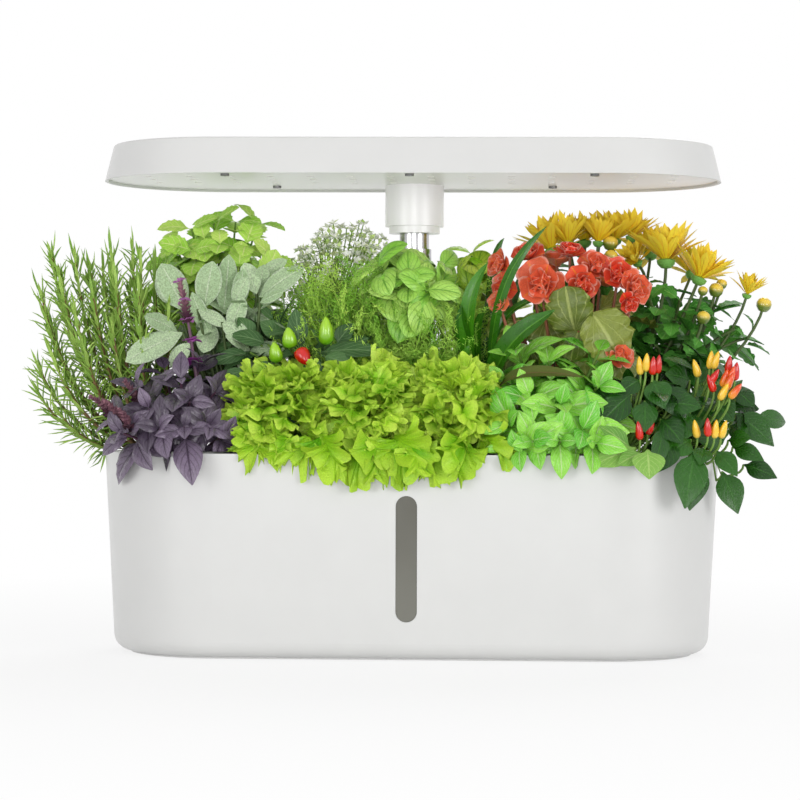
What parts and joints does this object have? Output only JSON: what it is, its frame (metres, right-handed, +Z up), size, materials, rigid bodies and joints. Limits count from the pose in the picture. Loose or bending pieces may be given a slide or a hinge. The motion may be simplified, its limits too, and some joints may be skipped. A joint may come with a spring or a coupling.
{
  "type": "countertop hydroponic garden",
  "caption": "Oblong white water tank planted with herbs, lettuce and flowers under a flat grow lamp on a telescopic mast.",
  "frame": {"origin": "on the table, at the centre of the tank's rest ring", "axes": "+X along the tank to the viewer's right, +Y to the rear, +Z up"},
  "size_m": [0.4702, 0.1673, 0.3176],
  "materials": {
    "white_housing": "satin moulded plastic",
    "grey_rubber": "matt silicone rubber",
    "smoked_lens": "smoked translucent plastic",
    "white_basket": "moulded net cup",
    "brown_sponge": "peat growing sponge",
    "polished_steel": "polished tube",
    "black_cable": "cable jacket",
    "board_aluminium": "white lacquered board",
    "led_lens": "phosphor and clear resin",
    "screw_steel": "plated screw",
    "circuit_board": "green lacquer",
    "black_plastic": "moulded plastic",
    "grey_button": "soft-touch button",
    "rotor_plastic": "bonded magnet and impeller",
    "black_foam": "open-cell foam",
    "clear_tube": "clear tube",
    "purple_foliage": "glossy purple leaves",
    "lettuce_foliage": "frilled leaves",
    "basil_foliage": "smooth puffed leaves",
    "chili_foliage": "smooth pointed leaves",
    "rosemary_foliage": "needles",
    "sage_foliage": "downy leaves",
    "dill_foliage": "fine threads",
    "dark_foliage": "long smooth leaves",
    "begonia_foliage": "round veined leaves",
    "balm_foliage": "toothed leaves",
    "thyme_foliage": "tiny leaves",
    "chrysanthemum_foliage": "lobed leaves",
    "woody_stem": "thin bark",
    "green_stem": "soft stem",
    "orange_red_petals": "rose-shaped petals",
    "yellow_petals": "strap-shaped petals",
    "purple_petals": "small lipped flowers",
    "white_petals": "tiny flowers",
    "red_fruit": "waxy fruit skin",
    "yellow_fruit": "waxy fruit skin",
    "green_fruit": "waxy fruit skin"
  },
  "bodies": {
    "tank_body": {"water_tank": "white_housing", "foot_pads": "grey_rubber", "sight_window": "smoked_lens", "window_gasket": "grey_rubber"},
    "deck_body": {"deck": "white_housing", "grow_baskets": "white_basket", "grow_sponges": "brown_sponge", "fill_port_hinge_pin": "screw_steel", "mast_socket": "white_housing", "socket_screws": "screw_steel", "mast_outer_tube": "polished_steel", "mast_collar": "polished_steel", "pump_housing": "black_plastic", "pump_cover": "black_plastic", "pump_shaft": "screw_steel", "pump_filter": "black_foam", "pump_feet": "grey_rubber", "pump_riser": "clear_tube", "pump_cable": "black_cable", "power_inlet": "black_plastic", "inlet_nut": "screw_steel", "purple_basil": "purple_foliage", "lettuce_left": "lettuce_foliage", "lettuce_middle": "lettuce_foliage", "lettuce_right": "lettuce_foliage", "bright_basil": "basil_foliage", "ornamental_chili_front": "chili_foliage", "rosemary": "rosemary_foliage", "sage": "sage_foliage", "green_chili": "chili_foliage", "dill": "dill_foliage", "long_leaf_plant": "dark_foliage", "begonia": "begonia_foliage", "ornamental_chili_side": "chili_foliage", "lemon_balm": "balm_foliage", "white_thyme": "thyme_foliage", "sweet_basil": "basil_foliage", "large_basil": "basil_foliage", "chrysanthemum": "chrysanthemum_foliage"},
    "lamp_body": {"mast_inner_tube": "polished_steel", "lamp_neck": "white_housing", "lamp_neck_ring": "white_housing", "mast_cable": "black_cable", "lamp_shell": "white_housing", "lamp_panel": "white_housing", "led_board": "board_aluminium", "led_chips": "led_lens", "panel_screws": "screw_steel", "control_board": "circuit_board", "board_screws": "screw_steel", "tact_switches": "black_plastic"},
    "fill_lid_body": {"fill_port_lid": "white_housing"},
    "rotor_body": {"pump_rotor": "rotor_plastic"},
    "light_button_body": {"light_button": "grey_button"},
    "pump_button_body": {"pump_button": "grey_button"},
    "timer_button_body": {"timer_button": "grey_button"}
  },
  "joints": [
    {"name": "deck_lift", "type": "slide", "parent": "tank_body", "child": "deck_body", "axis": [0, 0, 1], "range_m": [0, 0.12]},
    {"name": "mast_extend", "type": "slide", "parent": "deck_body", "child": "lamp_body", "axis": [0, 0, 1], "range_m": [-0.0097, 0.11], "deforming": ["mast_cable"]},
    {"name": "fill_lid_hinge", "type": "hinge", "parent": "deck_body", "child": "fill_lid_body", "pos_m": [0.042, 0.0587, 0.1272], "axis": [-1, 0, 0], "range_deg": [0, 95]},
    {"name": "pump_rotor_spin", "type": "hinge", "parent": "deck_body", "child": "rotor_body", "pos_m": [0.078, 0.021, 0.0215], "axis": [0, 1, 0], "continuous": true},
    {"name": "light_button_press", "type": "slide", "parent": "lamp_body", "child": "light_button_body", "axis": [0, 0, -1], "range_m": [0, 0.0006], "stiffness_N_per_m": 800},
    {"name": "pump_button_press", "type": "slide", "parent": "lamp_body", "child": "pump_button_body", "axis": [0, 0, -1], "range_m": [0, 0.0006], "stiffness_N_per_m": 800},
    {"name": "timer_button_press", "type": "slide", "parent": "lamp_body", "child": "timer_button_body", "axis": [0, 0, -1], "range_m": [0, 0.0006], "stiffness_N_per_m": 800}
  ]
}
